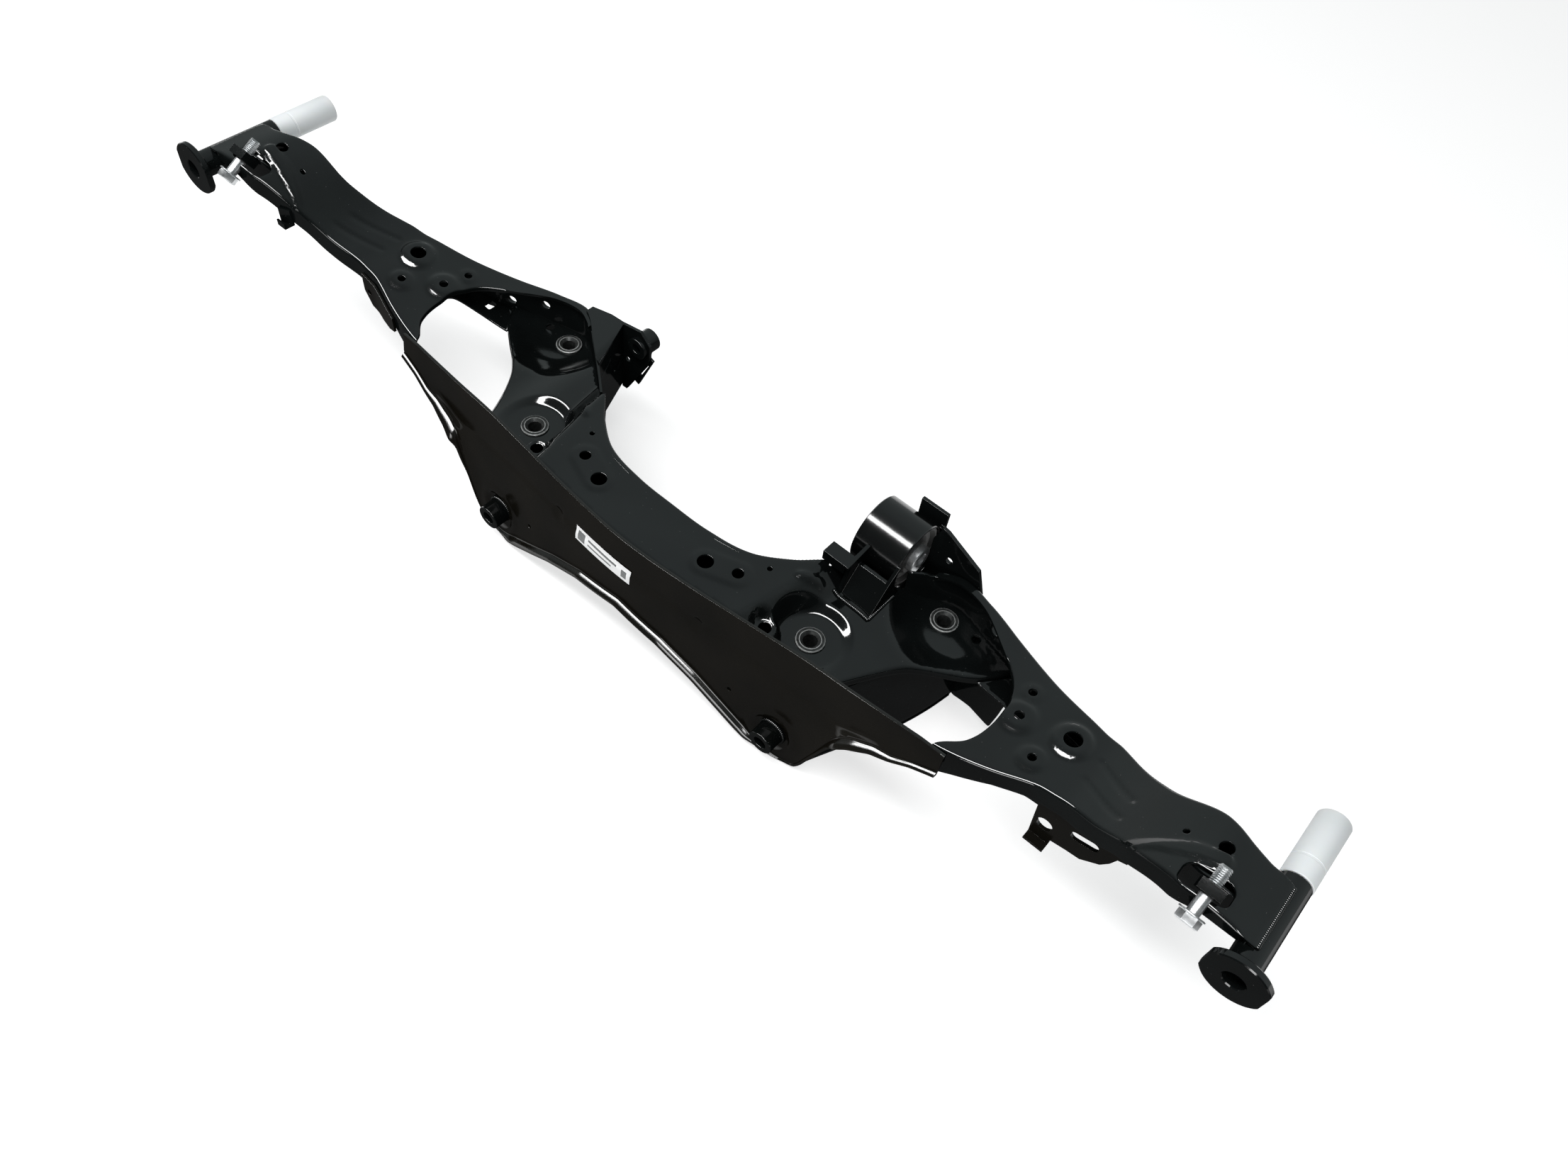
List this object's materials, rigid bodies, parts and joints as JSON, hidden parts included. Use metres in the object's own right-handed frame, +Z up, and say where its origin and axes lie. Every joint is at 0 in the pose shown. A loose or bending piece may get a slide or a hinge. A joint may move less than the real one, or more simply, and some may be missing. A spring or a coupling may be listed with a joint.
{
  "type": "suspension subframe",
  "caption": "Pressed-steel suspension subframe: stepped arms with body-mount tubes, a deep centre box with crush collars, and rear brackets with a rubber bush.",
  "frame": {"origin": "midway between the two body-mount bores, on the front faces of their flanges", "axes": "+X across the vehicle towards the end with the rubber bush, -Y out of the front web, +Z up off the centre plate"},
  "size_m": [1.143, 0.2107, 0.2413],
  "materials": {
    "black_paint": "gloss black dip paint",
    "zinc": "bright zinc plate",
    "white_plastic": "satin",
    "rubber": "moulded",
    "label_film": "printed film, left plain"
  },
  "bodies": {
    "root": {"upper_arm_left": "black_paint", "upper_arm_right": "black_paint", "lower_arm_left": "black_paint", "lower_arm_right": "black_paint", "front_web": "black_paint", "centre_pan": "black_paint", "rear_panel": "black_paint", "floor_pan": "black_paint", "side_wall_left": "black_paint", "side_wall_right": "black_paint", "end_tube_left": "black_paint", "end_tube_right": "black_paint", "end_flange_left": "black_paint", "end_flange_right": "black_paint", "sleeve_left": "white_plastic", "sleeve_right": "white_plastic", "clamp_bolt_left": "zinc", "clamp_bolt_right": "zinc", "weld_nut_left": "black_paint", "weld_nut_right": "black_paint", "collar_front_left": "black_paint", "collar_front_right": "black_paint", "collar_rear_left": "black_paint", "collar_rear_right": "black_paint", "boss_left": "black_paint", "boss_right": "black_paint", "bush_outer": "black_paint", "bush_rubber": "rubber", "bush_core": "zinc", "bush_bracket": "black_paint", "gusset_plate": "black_paint", "left_bracket": "black_paint", "nut_tube": "black_paint", "slotted_clip": "black_paint", "link_bracket": "black_paint", "lip_patch": "black_paint", "wire_clip": "black_paint", "label": "label_film"}
  },
  "joints": []
}
